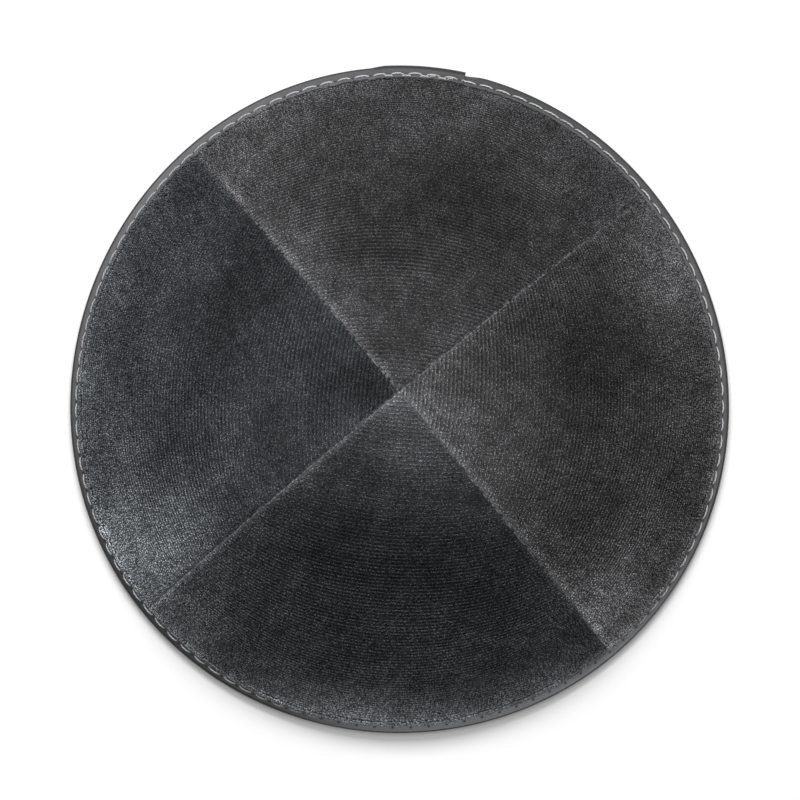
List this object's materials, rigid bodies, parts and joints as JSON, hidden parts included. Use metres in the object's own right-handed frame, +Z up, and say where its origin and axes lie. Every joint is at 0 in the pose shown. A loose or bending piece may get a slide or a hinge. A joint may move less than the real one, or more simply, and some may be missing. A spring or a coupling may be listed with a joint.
{
  "type": "kippah skullcap",
  "caption": "Round velvet skullcap sewn from gores that meet at the top, with a stitched, folded binding round its rim; it rests rim down and is open below.",
  "frame": {"origin": "centre of the rim's box, on the surface that the cap rests on, rim down", "axes": "+Z up through the top of the cap; -Y to the front panel; the seams run along the diagonals of X and Y"},
  "size_m": [0.1666, 0.1689, 0.0517],
  "materials": {
    "velvet": "dark grey pile velvet in fine rows, brushed here and there, soft sheen",
    "binding": "smooth dark grey leather-look strip with a soft grain, topstitched",
    "thread": "light grey twisted sewing thread"
  },
  "bodies": {
    "root": {"panel_front": "velvet", "panel_right": "velvet", "panel_back": "velvet", "panel_left": "velvet", "rim_binding": "binding"}
  },
  "joints": []
}
